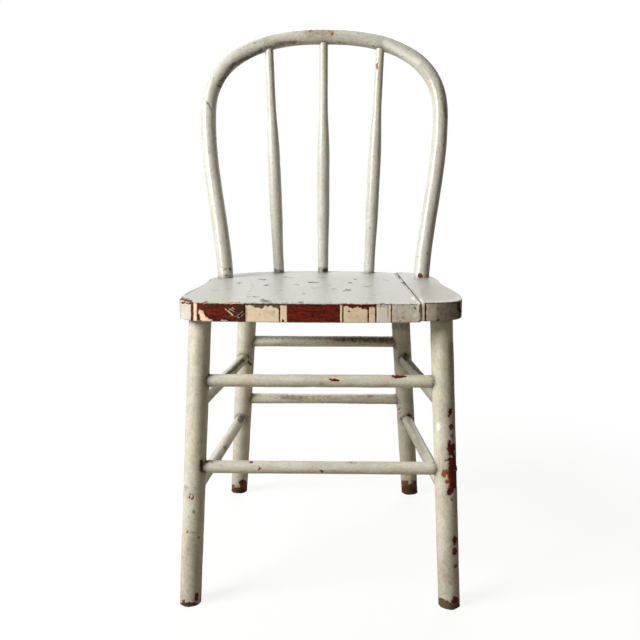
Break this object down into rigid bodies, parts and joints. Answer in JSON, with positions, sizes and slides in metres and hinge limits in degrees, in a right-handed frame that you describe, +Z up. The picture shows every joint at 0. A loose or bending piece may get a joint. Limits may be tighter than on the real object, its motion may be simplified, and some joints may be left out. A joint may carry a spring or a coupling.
{
  "type": "bow-back side chair with peeling paint",
  "caption": "Old wooden bow-back side chair with a plank seat, turned legs and stretchers, in chipped and peeling white paint.",
  "frame": {"origin": "on the floor, in the middle of the chair's bounding box", "axes": "+Z up, -Y towards the front edge of the seat, +X to the right as seen from the front"},
  "size_m": [0.4386, 0.4756, 0.8781],
  "materials": {
    "seat_paint": "semi-gloss off-white paint, worn to older cream paint and dark red-brown wood at the edges",
    "frame_paint": "semi-gloss off-white paint, grimy, chipped to dark red stain and bare wood",
    "back_paint": "semi-gloss off-white paint, worn pinkish on top, with small dark chips"
  },
  "bodies": {
    "root": {"seat_board_left": "seat_paint", "seat_board_centre_left": "seat_paint", "seat_board_centre_right": "seat_paint", "seat_board_right": "seat_paint", "leg_front_left": "frame_paint", "leg_front_right": "frame_paint", "leg_back_left": "frame_paint", "leg_back_right": "frame_paint", "stretcher_front_upper": "frame_paint", "stretcher_front_lower": "frame_paint", "stretcher_back_upper": "frame_paint", "stretcher_back_lower": "frame_paint", "stretcher_left_upper": "frame_paint", "stretcher_left_lower": "frame_paint", "stretcher_right_upper": "frame_paint", "stretcher_right_lower": "frame_paint", "back_bow": "back_paint", "spindle_left": "back_paint", "spindle_centre": "back_paint", "spindle_right": "back_paint"}
  },
  "joints": []
}
